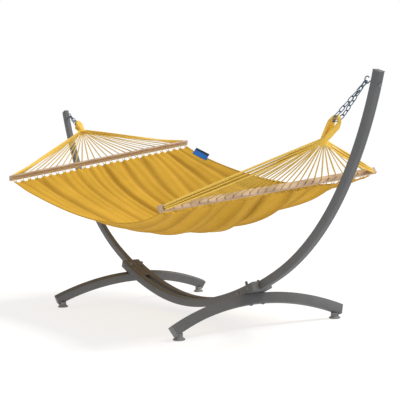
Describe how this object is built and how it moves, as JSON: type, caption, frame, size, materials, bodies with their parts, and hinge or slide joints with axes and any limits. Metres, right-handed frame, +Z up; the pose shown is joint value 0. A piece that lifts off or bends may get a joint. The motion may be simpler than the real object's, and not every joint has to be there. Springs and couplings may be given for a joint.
{
  "type": "hammock on stand",
  "caption": "Spreader-bar hammock with a cotton bed, wooden bars and fanned strings, hung on chains in a free-standing arched steel stand.",
  "frame": {"origin": "on the floor under the middle of the stand", "axes": "+X along the hammock towards the end with the longer chain, +Y across it to the back side, +Z up"},
  "size_m": [3.755, 1.4468, 1.3732],
  "materials": {
    "grey_steel": "satin grey powder coat",
    "cap_plastic": "moulded, satin",
    "foot_plastic": "moulded, matt",
    "zinc_steel": "dark zinc plating",
    "beech": "bare, smooth beech",
    "cotton_cloth": "woven yellow cotton",
    "cotton_cord": "twisted light yellow cotton cord",
    "label_cloth": "blank woven blue cloth"
  },
  "bodies": {
    "stand": {"rail_front": "grey_steel", "rail_back": "grey_steel", "arm_right": "grey_steel", "arm_left": "grey_steel", "foot_bar_right": "grey_steel", "foot_bar_left": "grey_steel", "arm_cap_right": "cap_plastic", "arm_cap_left": "cap_plastic", "rail_cap_right_front": "cap_plastic", "rail_cap_right_back": "cap_plastic", "rail_cap_left_front": "cap_plastic", "rail_cap_left_back": "cap_plastic", "foot_cap_right_front": "cap_plastic", "foot_cap_right_back": "cap_plastic", "foot_cap_left_front": "cap_plastic", "foot_cap_left_back": "cap_plastic", "foot_pad_right_front": "foot_plastic", "foot_pad_right_back": "foot_plastic", "foot_pad_left_front": "foot_plastic", "foot_pad_left_back": "foot_plastic", "foot_bolt_right_front": "zinc_steel", "foot_bolt_right_back": "zinc_steel", "foot_bolt_left_front": "zinc_steel", "foot_bolt_left_back": "zinc_steel", "foot_nut_right_front": "cap_plastic", "foot_nut_right_back": "cap_plastic", "foot_nut_left_front": "cap_plastic", "foot_nut_left_back": "cap_plastic", "cross_bolt_right_lower": "zinc_steel", "cross_bolt_right_upper": "zinc_steel", "cross_bolt_left_lower": "zinc_steel", "cross_bolt_left_upper": "zinc_steel", "cross_nut_right_lower": "cap_plastic", "cross_nut_right_upper": "cap_plastic", "cross_nut_left_lower": "cap_plastic", "cross_nut_left_upper": "cap_plastic", "hook_right": "zinc_steel", "hook_left": "zinc_steel", "hook_nut_right": "cap_plastic", "hook_nut_left": "cap_plastic"},
    "chains": {"chain_right": "zinc_steel", "chain_left": "zinc_steel"},
    "hammock": {"eye_right": "cotton_cloth", "eye_left": "cotton_cloth", "strings_right": "cotton_cord", "strings_left": "cotton_cord", "spreader_bar_right": "beech", "spreader_bar_left": "beech", "bed": "cotton_cloth", "label": "label_cloth"}
  },
  "joints": [
    {"name": "hammock_swing", "type": "hinge", "parent": "stand", "child": "chains", "pos_m": [0.00075, 0, 1.31716], "axis": [1, 0, -0.0007], "range_deg": [-30, 30]},
    {"name": "hammock_roll", "type": "hinge", "parent": "chains", "child": "hammock", "pos_m": [-0.0533, 0, 1.21212], "axis": [0.9994, 0, -0.0334], "range_deg": [-15, 15]}
  ]
}
